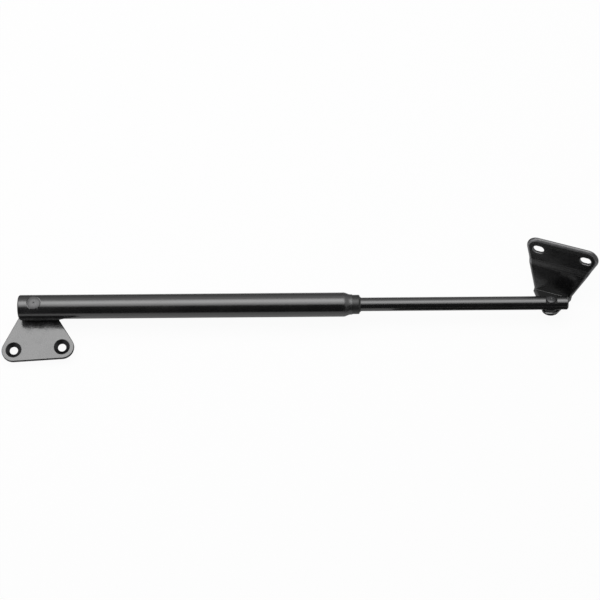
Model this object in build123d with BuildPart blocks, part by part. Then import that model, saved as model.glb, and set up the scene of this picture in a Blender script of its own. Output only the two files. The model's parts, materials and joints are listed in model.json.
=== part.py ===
from build123d import *
import os

# Flap stay: a round tube with a sliding rod, a flat plate riveted to the tube's pressed end
# and a bent plate riveted to the rod's end. Millimetres. The origin is on the back of the flat
# plate, midway between its two holes; +X runs along the holes towards the rod, +Y from the holes
# towards the tube, +Z out of the panel that the plate is screwed to.

# Panel bracket: flat plate
panel_sheet = 2.0
panel_hole_pitch = 32.0
panel_hole_r = 2.75
panel_sink_r = 5.4
panel_sink_angle = 120
panel_corner_r = 8.0
panel_pivot_rise = 26.0
panel_ear_r = 9.3
panel_edge_round = 0.5

# Panel pivot: rivet, standoff collar, friction washer, sleeve inside the tube
panel_rivet_r = 3.0
panel_rivet_sink_rim = 1.9
panel_rivet_head_rim = 1.4
panel_rivet_head_height = 1.3
panel_collar_wall = 2.0
panel_collar_height = 2.9
panel_washer_rim = 2.4
panel_washer_thickness = 0.75
spacer_wall = 0.65

# Tube
tube_r = 8.0
tube_wall = 1.0
tube_end_to_pivot = 10.0
tube_swing = -3.5
pressed_length = 25.5
pressed_blend = 3.5
pressed_flat = 4.9
pressed_corner_r = 1.8
pressed_least_r = 0.3
upper_round = 25
pressed_seat_rim = 0.4
neck_start = 213.7
neck_length = 6.0
neck_r = 6.7
neck_land = 1.0

# Rod and its end
rod_r = 4.5
pivot_spacing = 340.4
rod_end_to_pivot = 11.2
rod_chamfer = 0.7
rod_turn = 27.4
flap_flat_depth = 3.0
flap_flat_length = 17.8
flap_seat_length = 7.6
flap_seat_height = 2.6

# Guide bush, wiper and buffer in the neck
collar_inset = 0.35
collar_length = 4.9
collar_round_share = 0.85
bush_length = 9.5
wiper_width = 0.7
wiper_length = 2.0
wiper_lip = 0.6
wiper_lip_thickness = 0.4
wiper_recess = 0.2
buffer_length = 2.0
buffer_gap = 0.5

# Piston, its ring and its retainer on the rod's journal
piston_length = 12.0
piston_edge = 0.5
piston_ring_width = 3.0
piston_ring_depth = 1.3
journal_step = 1.3
journal_tail = 2.6
clip_rise = 1.4
clip_thickness = 1.1
clip_depth = 0.6
clip_mouth = 4.0

# Spring, its fixed stop and its moving seat
spring_wire_r = 1.0
spring_gap = 0.6
spring_turns = 18
stop_thickness = 3.0
nose_gap = 0.3
nose_length = 6.0
nose_edge = 1.0
cup_web = 3.0
cup_depth = 4.4
clip_room = 0.6

# End plug
plug_rim = 0.8
plug_rim_inset = 0.35
plug_length = 4.0

# Flap pivot: rivet, friction washer, rivet washer
flap_rivet_r = 2.25
flap_rivet_tail_rim = 0.85
flap_rivet_tail_height = 1.0
flap_rivet_head_rim = 1.55
flap_rivet_head_height = 1.2
flap_friction_rim = 2.15
flap_washer_rim = 2.15
flap_washer_thickness = 0.5

# Flap bracket: bent plate
flap_sheet = 2.0
flap_swing = 23.4
flap_ear_r = 5.5
flap_ear_gap = 0.1
flap_reach = 16.4
flap_bend_r = 0.8
flap_slot_rise = 27.7
flap_slot_pitch = 32.0
flap_slot_length = 7.5
flap_slot_width = 5.2
flap_sink_width = 1.0
flap_sink_depth = 0.5
flap_corner_rise = 28.8
flap_corner_r = 7.2
flap_edge_round = 0.7
flap_step_drop = 9.9
flap_step_height = 3.0
flap_step = 1.6
flap_foot_left = 16.5
flap_foot_right = 9.5

# Clearances
running_gap = 0.05
face_gap = 0.05
fit_gap = 0.02
piston_gap = 0.1
punch_r = 0.5

# Heights of the panel pivot's stack above the panel
collar_top = panel_sheet + face_gap + panel_collar_height
washer_top = collar_top + face_gap + panel_washer_thickness
tube_height = washer_top + face_gap + pressed_flat

# Radii that follow from the rod and the tube, working outwards or inwards
bore_r = tube_r - tube_wall
piston_r = bore_r - piston_gap
buffer_r = bore_r - buffer_gap
spring_mean_r = bore_r - spring_gap - spring_wire_r
nose_r = spring_mean_r - spring_wire_r - nose_gap
journal_r = rod_r - journal_step
clip_r = journal_r + clip_rise
cup_recess_r = clip_r + clip_room
collar_r = neck_r - collar_inset
wiper_r = rod_r + running_gap + wiper_width
collar_round = collar_round_share * (collar_r - wiper_r)

# Radii that follow from the two rivets
panel_rivet_sink_r = panel_rivet_r + panel_rivet_sink_rim
panel_rivet_head_r = panel_rivet_r + panel_rivet_head_rim
panel_collar_r = panel_rivet_r + panel_collar_wall
panel_washer_r = panel_rivet_r + panel_washer_rim
spacer_r = panel_rivet_r + running_gap + spacer_wall
pressed_seat_r = panel_rivet_head_r + pressed_seat_rim
flap_rivet_tail_r = flap_rivet_r + flap_rivet_tail_rim
flap_rivet_head_r = flap_rivet_r + flap_rivet_head_rim
flap_friction_r = flap_rivet_r + flap_friction_rim
flap_washer_r = flap_rivet_r + flap_washer_rim

# Level of the pressed seat over the tube's axis, where the sleeve's rim meets the bore
pressed_seat_height = (bore_r**2 - spacer_r**2) ** 0.5 + tube_wall - face_gap

# Distances along the tube from its pressed end
blend_end = pressed_length + pressed_blend
neck_end = neck_start + neck_length
collar_end = neck_end + face_gap + collar_length
bush_start = neck_start - bush_length
buffer_start = bush_start - face_gap - buffer_length
piston_end = buffer_start - piston_gap
piston_start = piston_end - piston_length
cup_end = piston_start - face_gap
cup_start = cup_end - cup_depth - cup_web
stop_start = blend_end + piston_gap
stop_end = stop_start + stop_thickness
flap_pivot_place = tube_end_to_pivot + pivot_spacing
rod_end = flap_pivot_place + rod_end_to_pivot

# Levels along the flap pivot, measured from the rod's axis
friction_top = -(flap_flat_depth + face_gap)
ear_top = -(rod_r + flap_ear_gap)
friction_bottom = ear_top + face_gap
ear_bottom = ear_top - flap_sheet
rivet_washer_bottom = ear_bottom - face_gap - flap_washer_thickness

# Frames: x along the tube, z out of the panel at the panel pivot; the rod's end is turned about
# the tube's axis, and the bent plate is swung about its own pivot.
panel_pivot = Plane((0, panel_pivot_rise, 0), x_dir=Vector(1, 0, 0).rotate(Axis.Z, tube_swing))
tube_pivot = panel_pivot.offset(tube_height)
rod_frame = Plane(tube_pivot.location * Location((pivot_spacing, 0, 0), (-rod_turn, 0, 0)))
flap_frame = Plane(rod_frame.location * Location((0, 0, 0), (0, 0, -flap_swing)))
lengthwise = Plane(tube_pivot.location * Location((-tube_end_to_pivot, 0, 0)) * Plane.XZ.location)
tube_axis = Axis(lengthwise.origin, lengthwise.x_dir)


def section(distance):
    """Plane square to the tube, at a distance from its pressed end: x across, y out of the panel."""
    place = Plane.YZ.offset(distance - tube_end_to_pivot)
    return Plane(tube_pivot.location * place.location)


def pressed_outline(inset):
    """Outline of the pressed end: a half round over straight sides and a flat underside."""
    r = tube_r - inset
    flat = pressed_flat - inset
    corner = max(pressed_corner_r - inset, pressed_least_r)
    with BuildLine() as outline:
        CenterArc((0, 0), r, 0, 180)
        Line((-r, 0), (-r, corner - flat))
        RadiusArc((-r, corner - flat), (corner - r, -flat), -corner)
        Line((corner - r, -flat), (r - corner, -flat))
        RadiusArc((r - corner, -flat), (r, corner - flat), -corner)
        Line((r, corner - flat), (r, 0))
    make_face(outline.edges())


def round_outline(inset):
    """The round tube's outline, divided where the pressed outline has its corners."""
    r = tube_r - inset
    with BuildLine() as outline:
        CenterArc((0, 0), r, 0, 180)
        CenterArc((0, 0), r, 180, upper_round)
        CenterArc((0, 0), r, 180 + upper_round, upper_round)
        CenterArc((0, 0), r, 180 + 2 * upper_round, 180 - 4 * upper_round)
        CenterArc((0, 0), r, 360 - 2 * upper_round, upper_round)
        CenterArc((0, 0), r, 360 - upper_round, upper_round)
    make_face(outline.edges())


def ring(start, length, outer_r, inner_r):
    """A plain ring round the tube's axis, starting at a distance from the tube's pressed end."""
    with BuildSketch(section(start)) as outline:
        Circle(outer_r)
        Circle(inner_r, mode=Mode.SUBTRACT)
    extrude(outline.sketch, amount=length)


def washer(frame, level, thickness, outer_r, inner_r):
    """A plain washer round a pivot, from a level of its frame upwards."""
    with BuildSketch(frame.offset(level)) as outline:
        Circle(outer_r)
        Circle(inner_r, mode=Mode.SUBTRACT)
    extrude(outline.sketch, amount=thickness)


def save(builder, name):
    """Label a finished piece and write it under its own name."""
    builder.part.label = name
    export_step(builder.part, "parts/" + name + ".step")


os.makedirs("parts", exist_ok=True)

# Flat plate: two screw corners and a round ear at the pivot
with BuildPart() as panel_bracket:
    with BuildSketch():
        with GridLocations(panel_hole_pitch, 0, 2, 1):
            Circle(panel_corner_r)
        with Locations((0, panel_pivot_rise)):
            Circle(panel_ear_r)
        make_hull()
    extrude(amount=panel_sheet)
    fillet(panel_bracket.faces().sort_by(Axis.Z)[-1].edges(), panel_edge_round)
    with Locations(Plane.XY.offset(panel_sheet)):
        with GridLocations(panel_hole_pitch, 0, 2, 1):
            CounterSinkHole(panel_hole_r, panel_sink_r, counter_sink_angle=panel_sink_angle)
    with Locations(Plane((0, panel_pivot_rise, 0), z_dir=(0, 0, -1))):
        CounterSinkHole(panel_rivet_r + fit_gap, panel_rivet_sink_r + fit_gap, counter_sink_angle=90)
save(panel_bracket, "panel_bracket")

# Rivet of the panel pivot: flush cone at the back, shank, low dome on the tube's seat
panel_seat_level = tube_height + pressed_seat_height
with BuildPart() as panel_rivet:
    dome_start = panel_seat_level + face_gap
    cone_height = panel_rivet_sink_r - panel_rivet_r
    with BuildSketch(Plane(panel_pivot.origin, x_dir=(1, 0, 0), z_dir=(0, -1, 0))):
        with BuildLine():
            Polyline(
                (0, face_gap),
                (panel_rivet_sink_r - face_gap, face_gap),
                (panel_rivet_r, cone_height),
                (panel_rivet_r, dome_start),
                (panel_rivet_head_r, dome_start),
                (panel_rivet_head_r, dome_start + panel_rivet_head_height / 2),
            )
            ThreePointArc(
                (panel_rivet_head_r, dome_start + panel_rivet_head_height / 2),
                (panel_rivet_head_r * 0.7, dome_start + panel_rivet_head_height * 0.85),
                (punch_r, dome_start + panel_rivet_head_height),
            )
            Polyline(
                (punch_r, dome_start + panel_rivet_head_height),
                (0, dome_start + panel_rivet_head_height - punch_r),
                (0, face_gap),
            )
        make_face()
    revolve(axis=Axis(panel_pivot.origin, (0, 0, 1)))
save(panel_rivet, "panel_rivet")

# Standoff collar that lifts the tube clear of the plate
with BuildPart() as panel_collar:
    washer(panel_pivot, panel_sheet + face_gap, panel_collar_height, panel_collar_r,
           panel_rivet_r + fit_gap)
save(panel_collar, "panel_collar")

# Friction washer under the tube's flat
with BuildPart() as panel_friction_washer:
    washer(panel_pivot, collar_top + face_gap, panel_washer_thickness, panel_washer_r,
           panel_rivet_r + fit_gap)
save(panel_friction_washer, "panel_friction_washer")

# Pad under the tube's seat, where the wall is pressed inwards
with BuildPart() as seat_pad:
    with BuildSketch(tube_pivot.offset(pressed_seat_height - tube_wall)):
        Circle(pressed_seat_r + tube_wall)
    extrude(amount=tube_wall)
    with BuildSketch(section(0)):
        Circle(tube_r - tube_wall / 2)
    extrude(amount=pressed_length, mode=Mode.INTERSECT)

# Tube: pressed end, blend to round, plain length and swaged neck, then the same inside
with BuildPart() as outer_tube:
    with BuildSketch(section(0)):
        pressed_outline(0)
    extrude(amount=pressed_length)
    with BuildSketch(section(pressed_length)):
        pressed_outline(0)
    with BuildSketch(section(blend_end)):
        round_outline(0)
    loft()
    with BuildSketch(section(blend_end)):
        Circle(tube_r)
    extrude(amount=neck_start - blend_end)
    with BuildSketch(lengthwise):
        with BuildLine():
            Spline((neck_start, tube_r), (neck_end - neck_land, neck_r), tangents=((1, 0), (1, 0)))
            Polyline(
                (neck_end - neck_land, neck_r),
                (neck_end, neck_r),
                (neck_end, 0),
                (neck_start, 0),
                (neck_start, tube_r),
            )
        make_face()
    revolve(axis=tube_axis)
    with BuildSketch(section(0)):
        pressed_outline(tube_wall)
    extrude(amount=pressed_length, mode=Mode.SUBTRACT)
    with BuildSketch(section(pressed_length)):
        pressed_outline(tube_wall)
    with BuildSketch(section(blend_end)):
        round_outline(tube_wall)
    loft(mode=Mode.SUBTRACT)
    with BuildSketch(section(blend_end)):
        Circle(bore_r)
    extrude(amount=neck_start - blend_end, mode=Mode.SUBTRACT)
    with BuildSketch(lengthwise):
        with BuildLine():
            Polyline(
                (neck_start, 0),
                (neck_start, bore_r),
                (neck_end, neck_r - tube_wall),
                (neck_end, 0),
                close=True,
            )
        make_face()
    revolve(axis=tube_axis, mode=Mode.SUBTRACT)
    # Seat pressed into the top for the rivet's dome
    add(seat_pad.part)
    with BuildSketch(tube_pivot.offset(pressed_seat_height)):
        Circle(pressed_seat_r)
    extrude(amount=tube_r, mode=Mode.SUBTRACT)
    with BuildSketch(tube_pivot.offset(-tube_r)):
        Circle(panel_rivet_r + running_gap)
    extrude(amount=2 * tube_r, mode=Mode.SUBTRACT)
save(outer_tube, "outer_tube")

# Plug that closes the pressed end, with a thin rim outside
with BuildPart() as end_plug:
    with BuildSketch(section(-plug_rim)):
        pressed_outline(plug_rim_inset)
    extrude(amount=plug_rim - face_gap)
    with BuildSketch(section(-face_gap)):
        pressed_outline(tube_wall + fit_gap)
    extrude(amount=plug_length)
    chamfer(end_plug.faces().sort_by(tube_axis)[0].edges(), plug_rim_inset)
save(end_plug, "end_plug")

# Sleeve round the rivet, from the tube's flat to its seat, so that riveting can't crush the tube
with BuildPart() as pivot_spacer:
    spacer_bottom = tube_wall - pressed_flat + fit_gap
    spacer_top = pressed_seat_height - tube_wall - fit_gap
    washer(tube_pivot, spacer_bottom, spacer_top - spacer_bottom, spacer_r,
           panel_rivet_r + running_gap)
save(pivot_spacer, "pivot_spacer")

# Fixed stop of the spring, held by the tube's blend
with BuildPart() as spring_stop:
    with BuildSketch(section(stop_start)):
        Circle(bore_r - fit_gap)
    extrude(amount=stop_thickness)
    with BuildSketch(section(stop_end)):
        Circle(nose_r)
    extrude(amount=nose_length)
    chamfer(spring_stop.faces().sort_by(tube_axis)[-1].edges(), nose_edge)
save(spring_stop, "spring_stop")

# Compression spring with ends ground flat
spring_length = cup_start - stop_end - 2 * face_gap
spring_start = stop_end + face_gap
with BuildPart() as compression_spring:
    wire_path = Helix(
        pitch=(spring_length - spring_wire_r) / spring_turns,
        height=spring_length - spring_wire_r,
        radius=spring_mean_r,
    )
    path = section(spring_start + spring_wire_r / 2).location * wire_path
    with BuildSketch(Plane(path @ 0, z_dir=path % 0)):
        Circle(spring_wire_r)
    sweep(path=path, is_frenet=True)
    with BuildSketch(section(spring_start)):
        Circle(bore_r)
    extrude(amount=spring_length, mode=Mode.INTERSECT)
save(compression_spring, "compression_spring")

# Moving seat of the spring: a nose in the spring and a cup over the rod's tail
with BuildPart() as spring_seat:
    with BuildSketch(section(cup_start - nose_length)):
        Circle(nose_r)
    extrude(amount=nose_length)
    with BuildSketch(section(cup_start)):
        Circle(piston_r)
    extrude(amount=cup_web + cup_depth)
    with BuildSketch(section(cup_start + cup_web)):
        Circle(cup_recess_r)
    extrude(amount=cup_depth, mode=Mode.SUBTRACT)
    chamfer(spring_seat.faces().sort_by(tube_axis)[0].edges(), nose_edge)
save(spring_seat, "spring_seat")

# Rod: journal with a clip groove, plain length, pivot end with a flat on both sides
clip_end = piston_start - fit_gap
clip_start = clip_end - clip_thickness
tail_start = piston_start - journal_tail
with BuildPart() as rod:
    with BuildSketch(lengthwise):
        with BuildLine():
            Polyline(
                (tail_start, 0),
                (tail_start, journal_r),
                (clip_start - fit_gap, journal_r),
                (clip_start - fit_gap, journal_r - clip_depth),
                (clip_end + fit_gap / 2, journal_r - clip_depth),
                (clip_end + fit_gap / 2, journal_r),
                (piston_end, journal_r),
                (piston_end, rod_r),
                (rod_end - rod_chamfer, rod_r),
                (rod_end, rod_r - rod_chamfer),
                (rod_end, 0),
                close=True,
            )
        make_face()
    revolve(axis=tube_axis)
    with BuildSketch(rod_frame.offset(-flap_flat_depth)):
        Rectangle(flap_flat_length, 2 * rod_r)
    extrude(amount=-rod_r, mode=Mode.SUBTRACT)
    with BuildSketch(rod_frame.offset(flap_seat_height)):
        Rectangle(flap_seat_length, 2 * rod_r)
    extrude(amount=rod_r, mode=Mode.SUBTRACT)
    with BuildSketch(rod_frame.offset(-rod_r)):
        Circle(flap_rivet_r + running_gap)
    extrude(amount=2 * rod_r, mode=Mode.SUBTRACT)
save(rod, "rod")

# Piston with a groove for its slide ring
ring_start = piston_start + (piston_length - piston_ring_width) / 2
with BuildPart() as piston:
    ring(piston_start, piston_length, piston_r, journal_r + fit_gap)
    chamfer(piston.edges().filter_by(GeomType.CIRCLE).group_by(SortBy.RADIUS)[-1], piston_edge)
    with BuildSketch(section(ring_start)):
        Circle(piston_r)
        Circle(piston_r - piston_ring_depth, mode=Mode.SUBTRACT)
    extrude(amount=piston_ring_width, mode=Mode.SUBTRACT)
save(piston, "piston")

# Slide ring in the piston's groove
with BuildPart() as piston_ring:
    ring(ring_start + fit_gap, piston_ring_width - 2 * fit_gap, bore_r - running_gap,
         piston_r - piston_ring_depth + fit_gap)
save(piston_ring, "piston_ring")

# Retaining clip, open on one side, in the journal's groove
with BuildPart() as piston_retainer:
    ring(clip_start, clip_thickness, clip_r, journal_r - clip_depth + fit_gap)
    with BuildSketch(section(clip_start)):
        with Locations((0, -clip_r)):
            Rectangle(clip_mouth, 2 * clip_r)
    extrude(amount=clip_thickness, mode=Mode.SUBTRACT)
save(piston_retainer, "piston_retainer")

# Rubber buffer between piston and guide bush
with BuildPart() as rebound_buffer:
    ring(buffer_start, buffer_length, buffer_r, rod_r + piston_gap)
save(rebound_buffer, "rebound_buffer")

# Guide bush: body in the bore, waist held by the swaged neck, collar outside
with BuildPart() as guide_bush:
    with BuildSketch(lengthwise):
        with BuildLine():
            Polyline(
                (bush_start, rod_r + running_gap),
                (bush_start, bore_r - fit_gap),
                (neck_start, bore_r - fit_gap),
                (neck_end, neck_r - tube_wall - fit_gap),
                (neck_end + face_gap, neck_r - tube_wall - fit_gap),
                (neck_end + face_gap, collar_r),
                (collar_end, collar_r),
                (collar_end, rod_r + running_gap),
                close=True,
            )
        make_face()
    revolve(axis=tube_axis)
    with BuildSketch(section(collar_end - wiper_length)):
        Circle(wiper_r)
    extrude(amount=wiper_length, mode=Mode.SUBTRACT)
    fillet(guide_bush.faces().sort_by(tube_axis)[-1].outer_wire().edges(), collar_round)
save(guide_bush, "guide_bush")

# Wiper ring in the collar's mouth, with a lip on the rod
with BuildPart() as wiper_ring:
    with BuildSketch(lengthwise):
        with BuildLine():
            Polyline(
                (collar_end - wiper_length + fit_gap, rod_r + running_gap),
                (collar_end - wiper_length + fit_gap, wiper_r - fit_gap),
                (collar_end - wiper_recess, wiper_r - fit_gap),
                (collar_end + wiper_lip, rod_r + running_gap + wiper_lip_thickness),
                (collar_end + wiper_lip, rod_r + running_gap),
                close=True,
            )
        make_face()
    revolve(axis=tube_axis)
save(wiper_ring, "wiper_ring")

# Friction washer between the rod's flat and the bent plate's ear
with BuildPart() as flap_friction_washer:
    washer(flap_frame, friction_bottom, friction_top - friction_bottom, flap_friction_r,
           flap_rivet_r + fit_gap)
save(flap_friction_washer, "flap_friction_washer")

# Washer under the rivet's head, behind the ear
with BuildPart() as flap_rivet_washer:
    washer(flap_frame, rivet_washer_bottom, flap_washer_thickness, flap_washer_r,
           flap_rivet_r + fit_gap)
save(flap_rivet_washer, "flap_rivet_washer")

# Rivet of the flap pivot: domed head behind the ear, peened tail on the rod's upper flat
with BuildPart() as flap_rivet:
    head_top = rivet_washer_bottom - face_gap
    tail = flap_seat_height + face_gap
    with BuildSketch(Plane(flap_frame.location * Plane.XZ.location)):
        with BuildLine():
            Polyline(
                (0, head_top - flap_rivet_head_height),
                (flap_rivet_head_r * 0.4, head_top - flap_rivet_head_height),
            )
            ThreePointArc(
                (flap_rivet_head_r * 0.4, head_top - flap_rivet_head_height),
                (flap_rivet_head_r * 0.82, head_top - flap_rivet_head_height * 0.76),
                (flap_rivet_head_r, head_top - flap_rivet_head_height * 0.3),
            )
            Polyline(
                (flap_rivet_head_r, head_top - flap_rivet_head_height * 0.3),
                (flap_rivet_head_r, head_top),
                (flap_rivet_r, head_top),
                (flap_rivet_r, tail),
                (flap_rivet_tail_r, tail),
                (flap_rivet_tail_r, tail + flap_rivet_tail_height * 0.4),
            )
            ThreePointArc(
                (flap_rivet_tail_r, tail + flap_rivet_tail_height * 0.4),
                (flap_rivet_tail_r * 0.65, tail + flap_rivet_tail_height * 0.85),
                (punch_r, tail + flap_rivet_tail_height),
            )
            Polyline(
                (punch_r, tail + flap_rivet_tail_height),
                (0, tail + flap_rivet_tail_height - punch_r),
                (0, head_top - flap_rivet_head_height),
            )
        make_face()
    revolve(axis=Axis(flap_frame.origin, flap_frame.z_dir))
save(flap_rivet, "flap_rivet")

# Bent plate: ear under the rod, bend, web, small step and slotted flange
web_front = flap_reach - flap_step
web_back = web_front + flap_sheet
step_top = flap_corner_rise - flap_step_drop
step_bottom = step_top - flap_step_height
flange_top = flap_corner_rise + flap_corner_r
bend_start = web_front - flap_bend_r
slot_arc = (flap_slot_pitch + flap_slot_length - flap_slot_width) / 2
with BuildPart() as flap_bracket:
    with BuildSketch(Plane(flap_frame.location * Plane.YZ.location)) as bent_profile:
        with BuildLine():
            Polyline(
                (-flap_ear_r, ear_bottom),
                (web_back, ear_bottom),
                (web_back, step_bottom),
                (flap_reach + flap_sheet, step_top),
                (flap_reach + flap_sheet, flange_top),
                (flap_reach, flange_top),
                (flap_reach, step_top),
                (web_front, step_bottom),
                (web_front, ear_top),
                (-flap_ear_r, ear_top),
                close=True,
            )
        make_face()
        outer_corner = bent_profile.vertices().sort_by_distance((web_back, ear_bottom))[0]
        fillet(outer_corner, flap_bend_r + flap_sheet)
        inner_corner = bent_profile.vertices().sort_by_distance((web_front, ear_top))[0]
        fillet(inner_corner, flap_bend_r)
    extrude(amount=flap_slot_pitch, both=True)
    # Outline of web and flange: all that lies outside it is cut away
    with BuildSketch(Plane(flap_frame.location * Plane.XZ.offset(-bend_start).location)):
        Rectangle(4 * flap_slot_pitch, 4 * flap_slot_pitch)
        with BuildSketch(mode=Mode.PRIVATE) as flange_outline:
            with Locations((-slot_arc, flap_corner_rise), (slot_arc, flap_corner_rise)):
                Circle(flap_corner_r)
            with Locations(((flap_foot_right - flap_foot_left) / 2, ear_top + flap_bend_r)):
                Rectangle(flap_foot_right + flap_foot_left, fit_gap)
            make_hull()
        add(flange_outline.sketch, mode=Mode.SUBTRACT)
        with Locations(((flap_foot_right - flap_foot_left) / 2, ear_bottom)):
            Rectangle(flap_foot_right + flap_foot_left, 2 * (ear_top + flap_bend_r - ear_bottom),
                      mode=Mode.SUBTRACT)
    extrude(amount=-2 * flap_reach, mode=Mode.SUBTRACT)
    # Outline of the ear
    with BuildSketch(flap_frame.offset(ear_bottom)):
        with Locations((0, bend_start)):
            Rectangle(4 * flap_slot_pitch, 4 * flap_slot_pitch, align=(Align.CENTER, Align.MAX))
        with BuildSketch(mode=Mode.PRIVATE) as ear_outline:
            Circle(flap_ear_r)
            with Locations(((flap_foot_right - flap_foot_left) / 2, bend_start)):
                Rectangle(flap_foot_right + flap_foot_left, fit_gap)
            make_hull()
        add(ear_outline.sketch, mode=Mode.SUBTRACT)
    extrude(amount=flap_sheet, mode=Mode.SUBTRACT)
    # Rivet hole
    with BuildSketch(flap_frame.offset(ear_bottom)):
        Circle(flap_rivet_r + fit_gap)
    extrude(amount=flap_sheet, mode=Mode.SUBTRACT)
    # Slots with elongated sinks
    flange_front = Plane(flap_frame.location * Plane.XZ.offset(-flap_reach).location)
    with BuildSketch(flange_front):
        with Locations((-flap_slot_pitch / 2, flap_slot_rise), (flap_slot_pitch / 2, flap_slot_rise)):
            SlotOverall(flap_slot_length, flap_slot_width)
    extrude(amount=-flap_sheet, mode=Mode.SUBTRACT)
    for slot_place in (-flap_slot_pitch / 2, flap_slot_pitch / 2):
        with BuildSketch(flange_front):
            with Locations((slot_place, flap_slot_rise)):
                SlotOverall(flap_slot_length + 2 * flap_sink_width, flap_slot_width + 2 * flap_sink_width)
        with BuildSketch(flange_front.offset(-flap_sink_depth)):
            with Locations((slot_place, flap_slot_rise)):
                SlotOverall(flap_slot_length, flap_slot_width)
        loft(mode=Mode.SUBTRACT)
    # Rounded front edge of the flange, from the step round both corners
    flange_middle = (flange_front.location * Location((0, flap_slot_rise, 0))).position
    flange_rim = flap_bracket.faces().sort_by_distance(flange_middle)[0].outer_wire().edges()
    fillet(flange_rim.sort_by(Axis(flap_frame.origin, flap_frame.z_dir))[1:], flap_edge_round)
save(flap_bracket, "flap_bracket")

built = (
    panel_bracket, panel_rivet, panel_collar, panel_friction_washer, outer_tube, end_plug,
    pivot_spacer, spring_stop, compression_spring, spring_seat, rod, piston, piston_ring,
    piston_retainer, rebound_buffer, guide_bush, wiper_ring, flap_friction_washer,
    flap_rivet_washer, flap_rivet, flap_bracket,
)
for piece in built:
    print(piece.part.label, round(piece.part.volume, 1))
print("spring's gap between turns", round(spring_length / spring_turns - 2 * spring_wire_r, 2))
print("rod's travel until the spring is solid",
      round(spring_length - 2 * spring_wire_r * (spring_turns + 1), 1))
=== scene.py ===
# %% [markdown]
# # A flap stay in black coated steel
# The stay is a tube with a rod that slides out of it. A flat plate is riveted to the tube and a bent
# plate to the rod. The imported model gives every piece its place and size. This script gives all of them
# their finishes, and sets up the studio and the camera. It also models the bent plate and the spring
# again, because rounded sheet and round wire are easy to shape with Blender's own tools.

# %% Load the frame
import json
import math

import bpy
from mathutils import Matrix, Vector


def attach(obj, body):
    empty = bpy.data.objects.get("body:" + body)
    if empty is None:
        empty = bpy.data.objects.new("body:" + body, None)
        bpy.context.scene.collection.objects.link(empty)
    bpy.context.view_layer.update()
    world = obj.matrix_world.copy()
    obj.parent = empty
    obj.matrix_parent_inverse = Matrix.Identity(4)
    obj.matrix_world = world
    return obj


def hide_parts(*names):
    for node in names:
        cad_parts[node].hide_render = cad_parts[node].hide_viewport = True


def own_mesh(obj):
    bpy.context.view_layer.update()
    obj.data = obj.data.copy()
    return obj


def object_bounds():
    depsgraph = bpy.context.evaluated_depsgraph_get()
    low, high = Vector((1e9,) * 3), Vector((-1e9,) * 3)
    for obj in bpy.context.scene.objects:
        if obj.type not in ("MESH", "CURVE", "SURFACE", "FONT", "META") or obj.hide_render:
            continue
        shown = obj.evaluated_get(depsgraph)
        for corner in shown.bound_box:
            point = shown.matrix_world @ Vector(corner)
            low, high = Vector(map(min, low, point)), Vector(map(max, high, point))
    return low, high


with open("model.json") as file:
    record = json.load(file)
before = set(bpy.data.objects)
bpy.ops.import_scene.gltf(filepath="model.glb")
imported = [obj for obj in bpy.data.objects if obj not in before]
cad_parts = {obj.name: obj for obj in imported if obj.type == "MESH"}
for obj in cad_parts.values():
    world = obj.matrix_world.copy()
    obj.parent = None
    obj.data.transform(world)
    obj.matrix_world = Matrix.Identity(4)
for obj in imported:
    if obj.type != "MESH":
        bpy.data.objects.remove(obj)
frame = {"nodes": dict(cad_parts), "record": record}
cad_low, cad_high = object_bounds()
MM = 0.001
print("nodes", len(frame["nodes"]), "lowest corner", cad_low, "highest corner", cad_high)

# %% [markdown]
# ## The camera
# The photograph looks down on the stay at 68 degrees with a long lens. The camera could be placed by
# three coordinates and three angles, but those are hard to picture. Here azimuth, elevation and roll turn
# it round a point near the stay's middle. The focal length is given in pixels of a 600-pixel frame, so
# the lens is that number scaled to the sensor's width.

# %% Camera
photo_width = 600
focal_pixels = 1794
view_azimuth = math.radians(-0.268)
view_elevation = math.radians(67.944)
view_roll = math.radians(-3.459)
view_distance = 1188.2 * MM
view_target = Vector((175.15, 19.86, 8.0)) * MM


def aim_camera():
    """Add the camera and point it at the target from its azimuth, elevation and roll."""
    flat = math.cos(view_elevation)
    back = Vector((math.sin(view_azimuth) * flat, -math.cos(view_azimuth) * flat, math.sin(view_elevation)))
    level = Vector((math.cos(view_azimuth), math.sin(view_azimuth), 0))
    rise = back.cross(level)
    right = math.cos(view_roll) * level + math.sin(view_roll) * rise
    up = math.cos(view_roll) * rise - math.sin(view_roll) * level
    bpy.ops.object.camera_add(location=(0, 0, 0))
    camera = bpy.context.object
    camera.name = "photo_camera"
    camera.data.sensor_width = 36
    camera.data.lens = focal_pixels / photo_width * camera.data.sensor_width
    place = Matrix((right, up, back)).transposed().to_4x4()
    place.translation = view_target + view_distance * back
    camera.matrix_world = place
    bpy.context.scene.camera = camera
    return camera


photo_camera = aim_camera()
print("lens", round(photo_camera.data.lens, 1), "mm")

# %% [markdown]
# ## Tools for materials
# A material is a small graph of nodes. Each graph could be wired socket by socket, but these helpers add
# a node with its values, link two sockets and start a group, so that each finish below reads as a short
# list of what it is made of.

# %% Node helpers


def add_node(tree, kind, **values):
    """Add a node and set its input sockets by name."""
    node = tree.nodes.new(kind)
    for name, value in values.items():
        node.inputs[name.replace("_", " ")].default_value = value
    return node


def link(tree, source, source_socket, target, target_socket):
    """Join an output socket to an input socket."""
    tree.links.new(source.outputs[source_socket], target.inputs[target_socket])


def new_group(name, inputs, outputs):
    """Make a shader node group with float or vector sockets, and return it with its two end nodes."""
    group = bpy.data.node_groups.new(name, "ShaderNodeTree")
    for socket_name, kind, value in inputs:
        socket = group.interface.new_socket(name=socket_name, in_out="INPUT", socket_type=kind)
        if value is not None:
            socket.default_value = value
    for socket_name, kind in outputs:
        group.interface.new_socket(name=socket_name, in_out="OUTPUT", socket_type=kind)
    return group, group.nodes.new("NodeGroupInput"), group.nodes.new("NodeGroupOutput")


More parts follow.
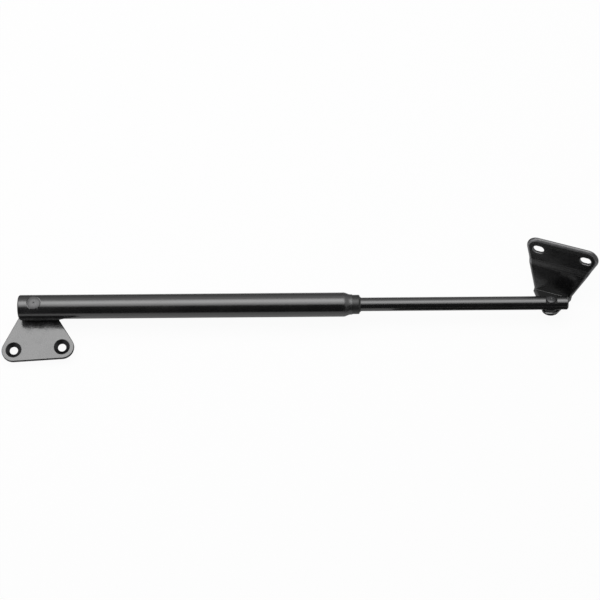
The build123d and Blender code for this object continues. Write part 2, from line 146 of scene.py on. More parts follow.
# %% [markdown]
# ## The coat's skin
# Stove enamel on steel is smooth but never a mirror. It has a faint orange peel, a millimetre or two
# across, and handling leaves it a little duller in soft patches. Both could be painted on images, but
# noise that is read at the object's own coordinates needs no unwrapping and has no seams. One group holds
# both noises, and each finish sets its own scale and strength.

# %% Skin group
patch_range = (0.35, 0.65)


def make_skin_group():
    """Group with peel height, patchy roughness and a mask of the patches."""
    group, ends_in, ends_out = new_group(
        "coat_skin",
        (("Peel Scale", "NodeSocketFloat", 500.0), ("Patch Scale", "NodeSocketFloat", 40.0),
         ("Low Roughness", "NodeSocketFloat", 0.2), ("High Roughness", "NodeSocketFloat", 0.3)),
        (("Height", "NodeSocketFloat"), ("Roughness", "NodeSocketFloat"), ("Patches", "NodeSocketFloat")),
    )
    place = add_node(group, "ShaderNodeTexCoord")
    peel = add_node(group, "ShaderNodeTexNoise", Detail=3.0, Roughness=0.45)
    patch = add_node(group, "ShaderNodeTexNoise", Detail=4.0, Roughness=0.6)
    spread = add_node(group, "ShaderNodeMapRange", From_Min=patch_range[0], From_Max=patch_range[1])
    link(group, place, "Object", peel, "Vector")
    link(group, place, "Object", patch, "Vector")
    link(group, ends_in, "Peel Scale", peel, "Scale")
    link(group, ends_in, "Patch Scale", patch, "Scale")
    link(group, patch, "Fac", spread, "Value")
    link(group, ends_in, "Low Roughness", spread, "To Min")
    link(group, ends_in, "High Roughness", spread, "To Max")
    link(group, peel, "Fac", ends_out, "Height")
    link(group, spread, "Result", ends_out, "Roughness")
    link(group, patch, "Fac", ends_out, "Patches")
    return group


skin_group = make_skin_group()
print("group", skin_group.name)

# %% Finish maker
peel_depth = 0.5 * MM


def make_finish(name, dark, light, roughness, peel_scale=500, peel=0.03, patch_scale=40, metallic=0.0,
                ior=1.75):
    """A finish with the skin group: two close colours in patches, patchy roughness and a fine peel."""
    material = bpy.data.materials.new(name)
    material.use_nodes = True
    tree = material.node_tree
    shader = tree.nodes["Principled BSDF"]
    shader.inputs["Metallic"].default_value = metallic
    shader.inputs["IOR"].default_value = ior
    skin = tree.nodes.new("ShaderNodeGroup")
    skin.node_tree = skin_group
    skin.inputs["Peel Scale"].default_value = peel_scale
    skin.inputs["Patch Scale"].default_value = patch_scale
    skin.inputs["Low Roughness"].default_value = roughness[0]
    skin.inputs["High Roughness"].default_value = roughness[1]
    colour = tree.nodes.new("ShaderNodeMix")
    colour.data_type = "RGBA"
    colour.inputs["A"].default_value = (*dark, 1)
    colour.inputs["B"].default_value = (*light, 1)
    bump = add_node(tree, "ShaderNodeBump", Strength=peel, Distance=peel_depth)
    link(tree, skin, "Patches", colour, "Factor")
    link(tree, colour, "Result", shader, "Base Color")
    link(tree, skin, "Roughness", shader, "Roughness")
    link(tree, skin, "Height", bump, "Height")
    link(tree, bump, "Normal", shader, "Normal")
    return material


# %% [markdown]
# ## The finishes
# Everything outside is black: enamel on the tube and the plates, a smoother coat on the rod where the
# bush runs, blackened rivets, a moulded bush and plug, and rubber for the wiper. The pieces inside are
# plated steel, spring wire and white acetal. They are hidden, but a cut-away view would show them. One
# maker with different numbers gives them all, because they differ in colour, gloss and grain alone.

# %% Finishes
enamel = ((0.005, 0.005, 0.0052), (0.008, 0.008, 0.0083), (0.17, 0.24))
finishes = {
    "black_coat": make_finish("black_coat", *enamel),
    "black_rod": make_finish("black_rod", (0.005, 0.005, 0.0053), (0.007, 0.007, 0.0074), (0.17, 0.23),
                             peel_scale=900, peel=0.01),
    "black_fittings": make_finish("black_fittings", (0.03, 0.03, 0.031), (0.055, 0.055, 0.057),
                                  (0.28, 0.38), peel_scale=700, peel=0.05, ior=1.6),
    "black_plastic": make_finish("black_plastic", (0.01, 0.01, 0.01), (0.014, 0.014, 0.014), (0.32, 0.42),
                                 peel_scale=1500, peel=0.04, ior=1.48),
    "rubber": make_finish("rubber", (0.011, 0.011, 0.011), (0.018, 0.018, 0.018), (0.5, 0.65),
                          peel_scale=1200, peel=0.08, ior=1.5),
    "zinc_steel": make_finish("zinc_steel", (0.55, 0.55, 0.53), (0.68, 0.68, 0.66), (0.25, 0.4),
                              peel_scale=1200, peel=0.03, metallic=1.0),
    "spring_steel": make_finish("spring_steel", (0.36, 0.36, 0.36), (0.46, 0.46, 0.46), (0.22, 0.34),
                                peel_scale=1500, peel=0.03, metallic=1.0),
    "acetal": make_finish("acetal", (0.76, 0.76, 0.73), (0.83, 0.83, 0.8), (0.3, 0.42), peel_scale=900,
                          peel=0.02, ior=1.48),
}


def dress(node, material):
    """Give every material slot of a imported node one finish."""
    for slot in frame["nodes"][node].material_slots:
        slot.material = material


for part in frame["record"]["subparts"]:
    dress(part["node"], finishes[part["material_slot"]])
print("finishes", sorted(finishes))

# %% [markdown]
# ## Dull and mottled places, and painted shade in the countersinks
# The swaging die scuffs the neck of the tube. The countersinks are dull metal of a near-black colour,
# which is painted shade that keeps these recesses dark. Both could be masked by hand, but each begins at a
# known distance along one direction, so one group measures that and mixes the duller roughness in. The
# flat plate is mottled all over, which its own patch scale, peel and roughness give.

# %% Dull group


def make_dull_group():
    """Group that mixes a duller roughness in past a distance along a direction."""
    group, ends_in, ends_out = new_group(
        "dull_past",
        (("Direction", "NodeSocketVector", None), ("Start", "NodeSocketFloat", 0.0),
         ("End", "NodeSocketFloat", 0.01), ("Roughness", "NodeSocketFloat", 0.2),
         ("Dull Roughness", "NodeSocketFloat", 0.5)),
        (("Roughness", "NodeSocketFloat"), ("Mask", "NodeSocketFloat")),
    )
    place = add_node(group, "ShaderNodeTexCoord")
    reach = group.nodes.new("ShaderNodeVectorMath")
    reach.operation = "DOT_PRODUCT"
    past = group.nodes.new("ShaderNodeMapRange")
    past.interpolation_type = "SMOOTHSTEP"
    blend = group.nodes.new("ShaderNodeMix")
    link(group, place, "Object", reach, 0)
    link(group, ends_in, "Direction", reach, 1)
    link(group, reach, "Value", past, "Value")
    link(group, ends_in, "Start", past, "From Min")
    link(group, ends_in, "End", past, "From Max")
    link(group, past, "Result", blend, "Factor")
    link(group, ends_in, "Roughness", blend, "A")
    link(group, ends_in, "Dull Roughness", blend, "B")
    link(group, blend, "Result", ends_out, "Roughness")
    link(group, past, "Result", ends_out, "Mask")
    return group


dull_group = make_dull_group()
print("group", dull_group.name)

# %% Dull places


def metal_wear_and_painted_light(tree, mask, metal):
    """Show metal of one colour over the shader's colour where the mask is 1. It paints shade into the
    countersinks, and rim wear with a painted highlight.
    """
    shader = tree.nodes["Principled BSDF"]
    colour = tree.nodes.new("ShaderNodeMix")
    colour.data_type = "RGBA"
    colour.inputs["B"].default_value = (*metal, 1)
    tree.links.new(mask, colour.inputs["Factor"])
    tree.links.new(shader.inputs["Base Color"].links[0].from_socket, colour.inputs["A"])
    link(tree, colour, "Result", shader, "Base Color")
    tree.links.new(mask, shader.inputs["Metallic"])


def dull_past(material, direction, start, end, roughness, metal=None):
    """Put the group between a finish's roughness and its shader, and paint that metal colour there if it is
    given, as painted shade in the countersinks.
    """
    tree = material.node_tree
    shader = tree.nodes["Principled BSDF"]
    dull = tree.nodes.new("ShaderNodeGroup")
    dull.node_tree = dull_group
    dull.inputs["Direction"].default_value = direction
    dull.inputs["Start"].default_value = start
    dull.inputs["End"].default_value = end
    dull.inputs["Dull Roughness"].default_value = roughness
    tree.links.new(shader.inputs["Roughness"].links[0].from_socket, dull.inputs["Roughness"])
    link(tree, dull, "Roughness", shader, "Roughness")
    if metal:
        metal_wear_and_painted_light(tree, dull.outputs["Mask"], metal)


along_tube = (0.9981348, -0.0610485, 0)
neck_start = 202.1 * MM
scuff_lead = 1.5 * MM
neck_scuffed = 205.0 * MM
scuffed_roughness = 0.38
tube_coat = make_finish("tube_coat", *enamel)
dull_past(tube_coat, along_tube, neck_start - scuff_lead, neck_scuffed, scuffed_roughness)
dress("outer_tube", tube_coat)

plate_top = 2.0 * MM
countersink_edge = 0.05 * MM
countersink_inside = 0.3 * MM
# The countersinks' near-black metal colour is painted shade, which keeps these recesses dark.
countersink_roughness = 0.4
countersink_painted_shade = (0.02, 0.02, 0.021)
plate_coat = make_finish("plate_coat", (0.002, 0.002, 0.002), (0.045, 0.045, 0.046), (0.12, 0.255),
                         peel_scale=400, peel=0.12, patch_scale=200)
dull_past(plate_coat, (0, 0, 1), plate_top - countersink_edge, plate_top - countersink_inside,
          countersink_roughness, countersink_painted_shade)
dress("panel_bracket", plate_coat)
print("finishes of their own", tube_coat.name, plate_coat.name)

# %% [markdown]
# ## The bent plate's blank
# The plate on the rod is stamped from 2 mm sheet and then bent. Stamping and tumbling leave its rim well
# rounded, and that rim catches the light all the way round. It could be cut out of a block, but the rim
# would be hard to round evenly. So it is made as the shop makes it: first a flat blank, drawn as a filled
# curve whose bevel rounds the outline, then punched, and bent afterwards.

# %% Blank sizes
# The sheet, and how wide its rim is rounded. Most of the rounding is at the front, because the rim's
# widest line lies well behind the sheet's middle.
half_sheet = 1.0 * MM
rim_width = 2.2 * MM
rim_low = 0.8 * MM
# The flange's two corners, and the foot where the web meets the bend.
corner_spread = 17.15 * MM
corner_rise = 28.8 * MM
corner_radius = 7.2 * MM
foot_left = -16.5 * MM
foot_right = 9.5 * MM
# The web's distance behind the pivot, the ear's level under it, and the bend between, in straight steps.
web_middle = 15.8 * MM
ear_middle = -5.6 * MM
bend_radius = 1.25 * MM
bend_steps = 8
foot_rise = ear_middle + bend_radius
bend_chord = 2 * bend_radius * math.sin(math.pi / 4 / bend_steps)
ear_top = foot_rise - bend_steps * bend_chord
# The ear, laid flat below the bend, and its hole for the rivet.
ear_reach = web_middle - bend_radius
ear_radius = 5.5 * MM
pivot_rise = ear_top - ear_reach
pivot_hole_radius = 2.35 * MM
print("blank height", round((corner_rise + corner_radius - pivot_rise + ear_radius) / MM, 1), "mm")

# %% Outline of the blank
corner_steps = 16
ear_steps = 18


def arc(centre, radius, start, end, steps):
    """Points of an arc, angles in degrees."""
    points = []
    for step in range(steps + 1):
        angle = math.radians(start + (end - start) * step / steps)
        points.append((centre[0] + radius * math.cos(angle), centre[1] + radius * math.sin(angle)))
    return points


def touch_angle(centre, radius, point, side):
    """Angle in degrees at which a line from a point touches a circle, on one side or the other."""
    across = point[0] - centre[0]
    along = point[1] - centre[1]
    swing = math.acos(radius / math.hypot(across, along))
    return math.degrees(math.atan2(along, across) + side * swing)


right_corner = (corner_spread, corner_rise)
left_corner = (-corner_spread, corner_rise)
pivot_place = (0, pivot_rise)
right_touch = touch_angle(right_corner, corner_radius, (foot_right, foot_rise), 1)
left_touch = touch_angle(left_corner, corner_radius, (foot_left, foot_rise), -1) + 360
ear_left_touch = touch_angle(pivot_place, ear_radius, (foot_left, ear_top), 1)
ear_right_touch = touch_angle(pivot_place, ear_radius, (foot_right, ear_top), -1) + 360
outline = (
    arc(right_corner, corner_radius, right_touch, 90, corner_steps)
    + arc(left_corner, corner_radius, 90, left_touch, corner_steps)
    + [(foot_left, foot_rise), (foot_left, ear_top)]
    + arc(pivot_place, ear_radius, ear_left_touch, ear_right_touch, ear_steps)
    + [(foot_right, ear_top), (foot_right, foot_rise)]
)
print("points in the outline", len(outline))

# %% Blank
rim_resolution = 4
merge_distance = 0.005 * MM
level_slack = 0.01 * rim_width


def filled_curve(name, points, bevel):
    """Filled flat curve round a loop of points. Its rim is rounded by the bevel, inside the loop."""
    bpy.ops.object.select_all(action="DESELECT")
    curve = bpy.data.curves.new(name, "CURVE")
    curve.dimensions = "2D"
    curve.fill_mode = "BOTH"
    spline = curve.splines.new("POLY")
    spline.points.add(len(points) - 1)
    for place, point in zip(spline.points, points):
        place.co = (*point, 0, 1)
    spline.use_cyclic_u = True
    curve.bevel_depth = bevel
    curve.bevel_resolution = rim_resolution
    curve.offset = -bevel
    blank = bpy.data.objects.new(name, curve)
    bpy.context.scene.collection.objects.link(blank)
    bpy.context.view_layer.objects.active = blank
    blank.select_set(True)
    bpy.ops.object.convert(target="MESH")
    return bpy.context.object


def select_where(piece, wanted):
    """Select the vertices whose answers are true, in edit mode."""
    bpy.ops.object.mode_set(mode="EDIT")
    bpy.ops.mesh.select_mode(type="VERT")
    bpy.ops.mesh.select_all(action="DESELECT")
    bpy.ops.object.mode_set(mode="OBJECT")
    for vertex, answer in zip(piece.data.vertices, wanted):
        vertex.select = answer
    bpy.ops.object.mode_set(mode="EDIT")


def flatten_side(blank, wanted, depth):
    """Scale one side of the bevel to a depth, and lower it by as much as the widest line."""
    select_where(blank, wanted)
    bpy.ops.transform.resize(value=(1, 1, depth / rim_width), center_override=(0, 0, 0))
    bpy.ops.transform.translate(value=(0, 0, -rim_low))
    bpy.ops.object.mode_set(mode="OBJECT")


def round_front(blank):
    """Scale the bevel to the sheet's thickness, so that most of the rounding is at the front."""
    levels = [vertex.co.z for vertex in blank.data.vertices]
    flatten_side(blank, [level > -level_slack for level in levels], half_sheet + rim_low)
    flatten_side(blank, [level < -level_slack for level in levels], half_sheet - rim_low)
    bpy.ops.object.mode_set(mode="EDIT")
    bpy.ops.mesh.select_all(action="SELECT")
    bpy.ops.mesh.remove_doubles(threshold=merge_distance)
    bpy.ops.mesh.normals_make_consistent(inside=False)
    bpy.ops.object.mode_set(mode="OBJECT")


flap_plate = filled_curve("flap_plate", outline, rim_width)
round_front(flap_plate)
print("blank's corners", len(flap_plate.data.vertices))
print("blank's box in mm", [round(side / MM, 2) for side in flap_plate.dimensions])

# %% [markdown]
# ## Punching the slots
# The slots let the fitter shift the flap before the screws bite. Each has a shallow sink at the front. A
# hole could be left in the filled curve, but the bevel would round it as widely as the rim. So a punch is
# modelled for each opening, straight below and flared above, and a boolean modifier takes it out of the
# blank while that is still flat.

# %% Punch
sink_width = 0.6 * MM
sink_depth = 0.4 * MM


def punch(blank, name, points, centre, flare):
    """Take a hole out of the blank. It starts behind the sheet and flares from the sink past the front."""
    tool = filled_curve(name, points, 0)
    bpy.ops.object.mode_set(mode="EDIT")
    bpy.ops.mesh.select_all(action="SELECT")
    bpy.ops.mesh.remove_doubles(threshold=merge_distance)
    bpy.ops.transform.translate(value=(0, 0, -2 * half_sheet))
    bpy.ops.mesh.extrude_region_move(TRANSFORM_OT_translate={"value": (0, 0, 3 * half_sheet - sink_depth)})
    bpy.ops.mesh.extrude_region_move(TRANSFORM_OT_translate={"value": (0, 0, 2 * sink_depth)})
    bpy.ops.transform.resize(value=(*flare, 1), center_override=(*centre, half_sheet + sink_depth))
    bpy.ops.mesh.select_all(action="SELECT")
    bpy.ops.mesh.normals_make_consistent(inside=False)
    bpy.ops.object.mode_set(mode="OBJECT")
    bpy.ops.object.select_all(action="DESELECT")
    bpy.context.view_layer.objects.active = blank
    blank.select_set(True)
    bpy.ops.object.modifier_add(type="BOOLEAN")
    cut = blank.modifiers[-1]
    cut.object = tool
    cut.operation = "DIFFERENCE"
    bpy.ops.object.modifier_apply(modifier=cut.name)
    bpy.data.objects.remove(tool)


# %% Slots and pivot hole
slot_spread = 16.0 * MM
slot_rise = 27.7 * MM
slot_half_run = 1.15 * MM
slot_radius = 2.6 * MM
slot_end_steps = 12
hole_sides = 24


def slot_outline(x, y):
    """Outline of a slot whose two ends are half circles."""
    right_end = arc((x + slot_half_run, y), slot_radius, -90, 90, slot_end_steps)
    left_end = arc((x - slot_half_run, y), slot_radius, 90, 270, slot_end_steps)
    return right_end + left_end


# The flare runs past the front by the sink's depth, so it widens by twice the sink's width.
slot_flare = (1 + 2 * sink_width / (slot_radius + slot_half_run), 1 + 2 * sink_width / slot_radius)
slot_places = {"right_punch": (slot_spread, slot_rise), "left_punch": (-slot_spread, slot_rise)}
for slot_name, slot_place in slot_places.items():
    punch(flap_plate, slot_name, slot_outline(*slot_place), slot_place, slot_flare)
pivot_hole = arc(pivot_place, pivot_hole_radius, 0, 360 - 360 / hole_sides, hole_sides - 1)
punch(flap_plate, "pivot_punch", pivot_hole, pivot_place, (1, 1))
print("corners after punching", len(flap_plate.data.vertices))

# %% [markdown]
# ## Bending the plate
# A press brake bends sheet along a line. A bend modifier could do it, but it would curve the whole web.
# So the blank is first cut across by close bisects where it will bend, and then the part beyond each
# line is turned a little, one line after the other. The small step under the slotted flange is made in
# the same way, but there the part beyond each line only moves back.

# %% Bending lines
step_bottom = 15.2 * MM
step_height = 4.4 * MM
step_depth = 1.6 * MM
step_cuts = 8
margin = 0.2 * MM


def cut_across(piece, levels):
    """Bisect the blank at each level, so that it can bend there."""
    bpy.ops.object.mode_set(mode="EDIT")
    for level in levels:
        bpy.ops.mesh.select_all(action="SELECT")
        bpy.ops.mesh.bisect(plane_co=(0, level, 0), plane_no=(0, 1, 0))
    bpy.ops.object.mode_set(mode="OBJECT")


step_levels = [step_bottom + step_height * cut / step_cuts for cut in range(step_cuts + 1)]
bend_levels = [foot_rise - bend_chord * cut for cut in range(bend_steps + 1)]
cut_across(flap_plate, step_levels + bend_levels + [foot_rise + margin, ear_top - margin])
print("corners after cutting across", len(flap_plate.data.vertices))

# %% [markdown]
# While the blank is flat, its own coordinates still say what is rim and what is corner. Two attributes
# keep that for the finish: how far round the rim a point lies, and how much it is handled and lit, which
# grows towards the corners. Vertex groups could hold them too, but a shader reads an attribute directly.

# %% Rim and handling
# Handling and light together: the rim band is wear and a painted highlight, strongest at the corners.
least_handled_and_lit = 0.1
handled_and_lit_from = 12.0 * MM
handled_and_lit_run = 8.0 * MM
for attribute_name in ("rim", "handled_and_lit"):
    flap_plate.data.attributes.new(attribute_name, "FLOAT", "POINT")
rim = flap_plate.data.attributes["rim"].data
handled_and_lit = flap_plate.data.attributes["handled_and_lit"].data
for mark, touch_and_light, vertex in zip(rim, handled_and_lit, flap_plate.data.vertices):
    touch_and_light.value = min(1, max(least_handled_and_lit, (abs(vertex.co.x) - handled_and_lit_from) / handled_and_lit_run))
    if vertex.co.y > step_bottom:
        mark.value = (half_sheet - vertex.co.z) / (half_sheet + rim_low)
print("rim attribute up to", round(max(mark.value for mark in rim), 2))

# %% [markdown]
# Each point's height on the flat blank is written down before the bending, because it says what lies
# beyond a line also when part of the plate is already bent. The lowest line is bent first, so that each
# next line still lies where it was cut. The first and the last line turn half as far as the others.

# %% Step and bend
line_slack = 0.001 * MM
heights = [vertex.co.y for vertex in flap_plate.data.vertices]


def step_share(cut):
    """Share of the step's depth that is reached at a cut, along a smooth S."""
    return (1 - math.cos(math.pi * cut / step_cuts)) / 2


for cut in range(step_cuts):
    select_where(flap_plate, [height > step_levels[cut + 1] - line_slack for height in heights])
    back = step_depth * (step_share(cut + 1) - step_share(cut))
    bpy.ops.transform.translate(value=(0, 0, -back))
    bpy.ops.object.mode_set(mode="OBJECT")
for cut in range(bend_steps, -1, -1):
    fold = math.pi / 2 / bend_steps
    if cut in (0, bend_steps):
        fold = fold / 2
    select_where(flap_plate, [height < bend_levels[cut] - line_slack for height in heights])
    bpy.ops.transform.rotate(value=fold, orient_axis="X", center_override=(0, bend_levels[cut], 0))
    bpy.ops.object.mode_set(mode="OBJECT")
print("bent plate's box in mm", [round(side / MM, 2) for side in flap_plate.dimensions])

# %% [markdown]
# ## Placing the plate
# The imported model's bent plate gives the place. Its pivot is the origin, and three directions go along
# the slots, up the web and out of the back. The piece could be moved and turned by hand, but one matrix
# sets it there exactly. The matrix is applied, so that the object stays at the origin like the packed
# ones. The smooth shading is weighted by face area, which keeps the large faces flat beside the rim.

# %% Place the bent plate
flap_pivot = Vector((339.7651, 5.2191, 10.7)) * MM
along_slots = Vector((0.8945175, -0.4079639, 0.1827674))
out_of_back = Vector((0.4461493, 0.7890316, -0.4223505))
up_the_web = Vector((0.0280945, 0.4593414, 0.8878154))
plate_smooth_angle = math.radians(40)


def place_on_frame(piece):
    """Turn the level plate to its place on the rod, apply that and shade it."""
    place = Matrix((along_slots, up_the_web, -out_of_back)).transposed().to_4x4()
    place.translation = flap_pivot + web_middle * out_of_back
    piece.matrix_world = place
    bpy.ops.object.select_all(action="DESELECT")
    piece.select_set(True)
    bpy.context.view_layer.objects.active = piece
    bpy.ops.object.transform_apply(location=True, rotation=True, scale=True)
    bpy.ops.object.mode_set(mode="EDIT")
    bpy.ops.mesh.select_all(action="SELECT")
    bpy.ops.mesh.normals_make_consistent(inside=False)
    bpy.ops.object.mode_set(mode="OBJECT")
    bpy.ops.object.shade_smooth_by_angle(angle=plate_smooth_angle)
    bpy.ops.object.modifier_add(type="WEIGHTED_NORMAL")
    bpy.ops.object.modifier_apply(modifier=piece.modifiers[0].name)


place_on_frame(flap_plate)
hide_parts("flap_bracket")
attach(flap_plate, "flap")

# %% [markdown]
# ## The worn and highlighted rim
# Along the flange's rounded rim a paler band of steel colour is painted in. It is partly wear, where
# handling rubs the coat thin, and partly a painted highlight of the rim catching the light, most of all at
# the two corners. The band could be painted on an image, but the rim attribute already knows where it
# lies: it grows from 0 on the flat front to 1 where the rim is widest. One ramp starts the band and a
# second ends it before the outermost edge. Noise breaks it up, so that it is never a drawn line.

# %% Rim wear group
band_start = (0.004, 0.04)
band_end = (0.45, 0.2)
band_noise_range = (0.3, 0.7)
band_noise_share = (0.45, 1.0)


def combine(tree, operation, first, second):
    """Add a maths node on two output sockets, or on a socket and a number, and return its output."""
    node = tree.nodes.new("ShaderNodeMath")
    node.operation = operation
    tree.links.new(first, node.inputs[0])
    if isinstance(second, (int, float)):
        node.inputs[1].default_value = second
    else:
        tree.links.new(second, node.inputs[1])
    return node.outputs["Value"]


def make_wear_and_highlight_group():
    """Group that turns the rim attribute into a broken band of wear and painted highlight."""
    group, ends_in, ends_out = new_group(
        "rim_wear_and_highlight", (("Rim", "NodeSocketFloat", 0.0), ("Break Scale", "NodeSocketFloat", 300.0)),
        (("Wear", "NodeSocketFloat"),),
    )
    ramps = []
    for low, high in (band_start, band_end):
        ramp = add_node(group, "ShaderNodeMapRange", From_Min=low, From_Max=high)
        ramp.interpolation_type = "SMOOTHSTEP"
        link(group, ends_in, "Rim", ramp, "Value")
        ramps.append(ramp.outputs["Result"])
    place = add_node(group, "ShaderNodeTexCoord")
    breaks = add_node(group, "ShaderNodeTexNoise", Detail=4.0, Roughness=0.6)
    band_noise = add_node(group, "ShaderNodeMapRange", From_Min=band_noise_range[0], From_Max=band_noise_range[1],
                    To_Min=band_noise_share[0], To_Max=band_noise_share[1])
    link(group, place, "Object", breaks, "Vector")
    link(group, ends_in, "Break Scale", breaks, "Scale")
    link(group, breaks, "Fac", band_noise, "Value")
    band = combine(group, "MULTIPLY", ramps[0], ramps[1])
    worn_and_lit = combine(group, "MULTIPLY", band, band_noise.outputs["Result"])
    group.links.new(worn_and_lit, ends_out.inputs["Wear"])
    return group


wear_and_highlight_group = make_wear_and_highlight_group()
print("group", wear_and_highlight_group.name)

# %% Worn coat with a painted highlight
# The paler steel colour is partly wear and partly a painted highlight on the rim.
wear_and_highlight_steel = (0.35, 0.35, 0.36)
wear_and_highlight_share = 0.6


def wear_and_highlight_finish(name, material, steel, share):
    """Copy of a finish in which the rim and handling attributes show some steel colour, as wear and a
    painted highlight.
    """
    worn_and_lit = material.copy()
    worn_and_lit.name = name
    tree = worn_and_lit.node_tree
    rim_value = tree.nodes.new("ShaderNodeAttribute")
    rim_value.attribute_name = "rim"
    touched_and_lit = tree.nodes.new("ShaderNodeAttribute")
    touched_and_lit.attribute_name = "handled_and_lit"
    wear = tree.nodes.new("ShaderNodeGroup")
    wear.node_tree = wear_and_highlight_group
    link(tree, rim_value, "Fac", wear, "Rim")
    rubbed_and_lit = combine(tree, "MULTIPLY", touched_and_lit.outputs["Fac"], share)
    metal_wear_and_painted_light(tree, combine(tree, "MULTIPLY", wear.outputs["Wear"], rubbed_and_lit), steel)
    return worn_and_lit


worn_and_highlighted_coat = wear_and_highlight_finish("worn_and_highlighted_coat", finishes["black_coat"], wear_and_highlight_steel, wear_and_highlight_share)
flap_plate.data.materials.clear()
flap_plate.data.materials.append(worn_and_highlighted_coat)
print("worn finish", worn_and_highlighted_coat.name)

# %% [markdown]
# ## The spring
# A coil of round wire inside the tube pushes the rod out. It could be a tube swept along a spiral line,
# but the screw modifier makes it from one circle: it turns the circle round the axis while it climbs.
# The imported spring says where the coil starts and ends along the tube. When the rod goes in, the seat on
# the rod's end presses the coil together.

# %% Compression spring
wire_radius = 1.0 * MM
wire_sides = 12
coil_radius = 5.4 * MM
coil_turns = 18
coil_turn_steps = 28
coil_smooth_angle = math.radians(60)
tube_line = Vector(along_tube)
tube_pivot = Vector((0, 26, 10.7)) * MM
reaches = [tube_line.dot(corner.co) for corner in frame["nodes"]["compression_spring"].data.vertices]
coil_length = max(reaches) - min(reaches)
coil_foot = tube_pivot + (min(reaches) - tube_line.dot(tube_pivot)) * tube_line


def make_spring():
    """Screw a circle of wire into a coil, close its ends and lay it along the tube."""
    bpy.ops.object.select_all(action="DESELECT")
    bpy.ops.mesh.primitive_circle_add(vertices=wire_sides, radius=wire_radius, fill_type="NOTHING",
                                      location=(coil_radius, 0, wire_radius), rotation=(math.pi / 2, 0, 0))
    spring = bpy.context.object
    spring.name = "coil_spring"
    bpy.ops.object.transform_apply(location=True, rotation=True, scale=True)
    bpy.ops.object.modifier_add(type="SCREW")
    screw = spring.modifiers[-1]
    screw.iterations = coil_turns
    screw.screw_offset = (coil_length - 2 * wire_radius) / coil_turns
    screw.steps = coil_turn_steps
    screw.render_steps = coil_turn_steps
    bpy.ops.object.modifier_apply(modifier=screw.name)
    bpy.ops.object.mode_set(mode="EDIT")
    bpy.ops.mesh.select_all(action="SELECT")
    bpy.ops.mesh.fill_holes(sides=0)
    bpy.ops.mesh.select_all(action="SELECT")
    bpy.ops.mesh.normals_make_consistent(inside=False)
    bpy.ops.object.mode_set(mode="OBJECT")
    across = tube_line.orthogonal().normalized()
    place = Matrix((across, tube_line.cross(across), tube_line)).transposed().to_4x4()
    place.translation = coil_foot
    spring.matrix_world = place
    bpy.ops.object.transform_apply(location=True, rotation=True, scale=True)
    bpy.ops.object.shade_smooth_by_angle(angle=coil_smooth_angle)
    spring.data.materials.append(finishes["spring_steel"])
    return spring


coil_spring = make_spring()
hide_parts("compression_spring")
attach(coil_spring, "tube")
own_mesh(coil_spring)
print("coil", round(coil_length / MM, 1), "mm long, faces", len(coil_spring.data.polygons))

# %% [markdown]
# ## The studio
# The photograph has a white ground, and a soft lamp overhead draws the long stripe on the tube. The floor
# could be lit until it is white, but then the object would be too light. Instead, the camera sees floor
# and world as almost pure white, while the object gets plain light. The coat mirrors the world as white
# too, but the floor nearly as it is lit. The soft box has three faces, one inside the other, and where
# they overlap the light is stronger, so the stripe fades towards its edges.

# %% Floor and world
floor_gap = 0.3 * MM
floor_size = 8.0
floor_middle = 0.17
floor_grey = 0.8
white_share = 0.95
mirrored_white_share = 0.1
world_light = 0.2
floor_level = cad_low.z - floor_gap


def white_for_rays(tree, seen_share, mirrored_share):
    """Return a socket with one share for camera and transmission rays, another for glossy rays."""
    rays = tree.nodes.new("ShaderNodeLightPath")
    seen = combine(tree, "MULTIPLY", rays.outputs["Is Camera Ray"], seen_share)
    through = combine(tree, "MULTIPLY", rays.outputs["Is Transmission Ray"], seen_share)
    mirrored = combine(tree, "MULTIPLY", rays.outputs["Is Glossy Ray"], mirrored_share)
    return combine(tree, "MAXIMUM", combine(tree, "MAXIMUM", seen, through), mirrored)


def make_floor():
    """Pale floor just under the lowest piece, white to the camera but for the object's soft shadow."""
    bpy.ops.object.select_all(action="DESELECT")
    bpy.ops.mesh.primitive_plane_add(size=floor_size, location=(floor_middle, 0, floor_level))
    floor = bpy.context.object
    floor.name = "floor"
    material = bpy.data.materials.new("pale_floor")
    material.use_nodes = True
    tree = material.node_tree
    tree.nodes.remove(tree.nodes["Principled BSDF"])
    matt = add_node(tree, "ShaderNodeBsdfDiffuse", Color=(floor_grey, floor_grey, floor_grey, 1))
    glow = add_node(tree, "ShaderNodeEmission", Color=(1, 1, 1, 1), Strength=1.0)
    mix = tree.nodes.new("ShaderNodeMixShader")
    tree.links.new(white_for_rays(tree, white_share, mirrored_white_share), mix.inputs["Fac"])
    link(tree, matt, "BSDF", mix, 1)
    link(tree, glow, "Emission", mix, 2)
    link(tree, mix, "Shader", tree.nodes["Material Output"], "Surface")
    floor.data.materials.append(material)


def make_world():
    """World that is white to the camera and in reflections, and a dim grey light otherwise."""
    world = bpy.data.worlds.new("studio")
    bpy.context.scene.world = world
    world.use_nodes = True
    tree = world.node_tree
    background = tree.nodes["Background"]
    background.inputs["Color"].default_value = (1, 1, 1, 1)
    strength = add_node(tree, "ShaderNodeMapRange", To_Min=world_light, To_Max=1.0)
    tree.links.new(white_for_rays(tree, 1, 1), strength.inputs["Value"])
    link(tree, strength, "Result", background, "Strength")


make_floor()
make_world()
print("floor at", round(floor_level / MM, 2), "mm")

# %% Lamp
stay_middle = 0.175
lamp_left_shift = 0.25
lamp_back_shift = 0.31
lamp_height = 0.9
lamp_length = 1.4
lamp_widths = (1.05, 0.7, 0.36)
lamp_radiance = 1.15


def make_lamp(number, width):
    """One face of the soft box, a millimetre under the last. Its power gives it the wanted radiance."""
    power = lamp_radiance * math.pi * lamp_length * width
    place = (stay_middle - lamp_left_shift, lamp_back_shift, lamp_height - number * MM)
    bpy.ops.object.light_add(type="AREA", location=place)
    lamp = bpy.context.object
    lamp.name = "soft_box_" + str(number)
    lamp.data.shape = "RECTANGLE"
    lamp.data.size = lamp_length
    lamp.data.size_y = width
    lamp.data.energy = power
    return round(power, 1)


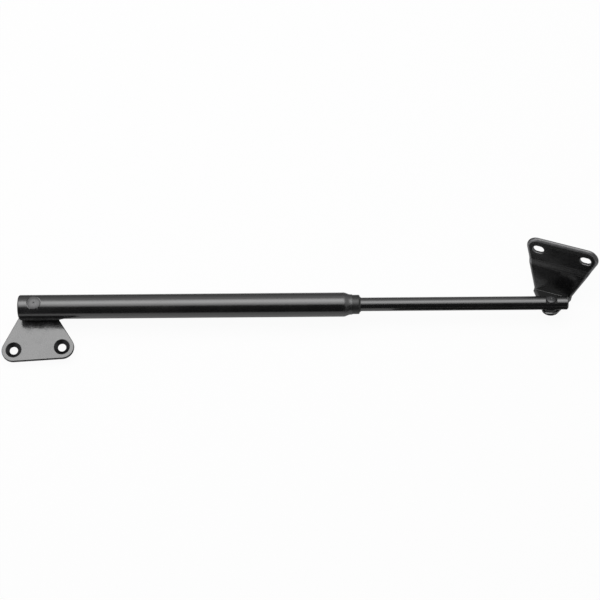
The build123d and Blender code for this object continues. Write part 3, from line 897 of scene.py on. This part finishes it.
print("lamps", [make_lamp(number, width) for number, width in enumerate(lamp_widths)], "W")

# %% [markdown]
# ## Cards round the stay
# A gloss black object on a white ground looks grey, because every side of it mirrors something white. It
# could be painted darker, but it would still mirror the white. A photographer sets cards round it. Here a
# dark card leans over on the camera's side and another lies on the floor before the rod's end, and they
# keep the bent plate and the tube's lower half black. Two grey cards lie and stand behind, for the soft
# upper edge of the tube. All are seen in reflections only, so they hide nothing and cast no shadow.

# %% Cards
card_lift = 0.1 * MM
card_level = floor_level + card_lift
dark_glow = 0.03
ground_grey_glow = 0.25
far_grey_glow = 0.55


def make_card(name, brightness, sides, near, far):
    """A flat card that only glossy rays see. Its near and its far edge are each given as (y, z)."""
    left, right = sides
    card = bpy.data.objects.new(name, bpy.data.meshes.new(name))
    bpy.context.scene.collection.objects.link(card)
    card.data.from_pydata([(left, *near), (right, *near), (right, *far), (left, *far)], [], [(0, 1, 2, 3)])
    material = bpy.data.materials.new(name)
    material.use_nodes = True
    tree = material.node_tree
    tree.nodes.remove(tree.nodes["Principled BSDF"])
    glow = add_node(tree, "ShaderNodeEmission", Color=(1, 1, 1, 1), Strength=brightness)
    link(tree, glow, "Emission", tree.nodes["Material Output"], "Surface")
    card.data.materials.append(material)
    card.visible_camera = False
    card.visible_diffuse = False
    card.visible_transmission = False
    card.visible_shadow = False
    print("card", name)


make_card("standing_card", dark_glow, sides=(-0.3, 0.9), near=(-0.75, floor_level), far=(-0.36, 1.0))
make_card("ground_card", dark_glow, sides=(0.235, 0.365), near=(-0.22, card_level), far=(-0.006, card_level))
make_card("far_ground_card", ground_grey_glow, sides=(-0.5, 1.0), near=(0.055, card_level),
          far=(1.0, card_level))
make_card("far_card", far_grey_glow, sides=(-0.5, 1.0), near=(1.0, floor_level), far=(1.0, 0.45))

# %% [markdown]
# ## Finish
# The colours go to the screen unchanged, so the view transform is the plain one.

# %% Finish
bpy.context.scene.view_settings.view_transform = "Standard"
bpy.context.view_layer.update()
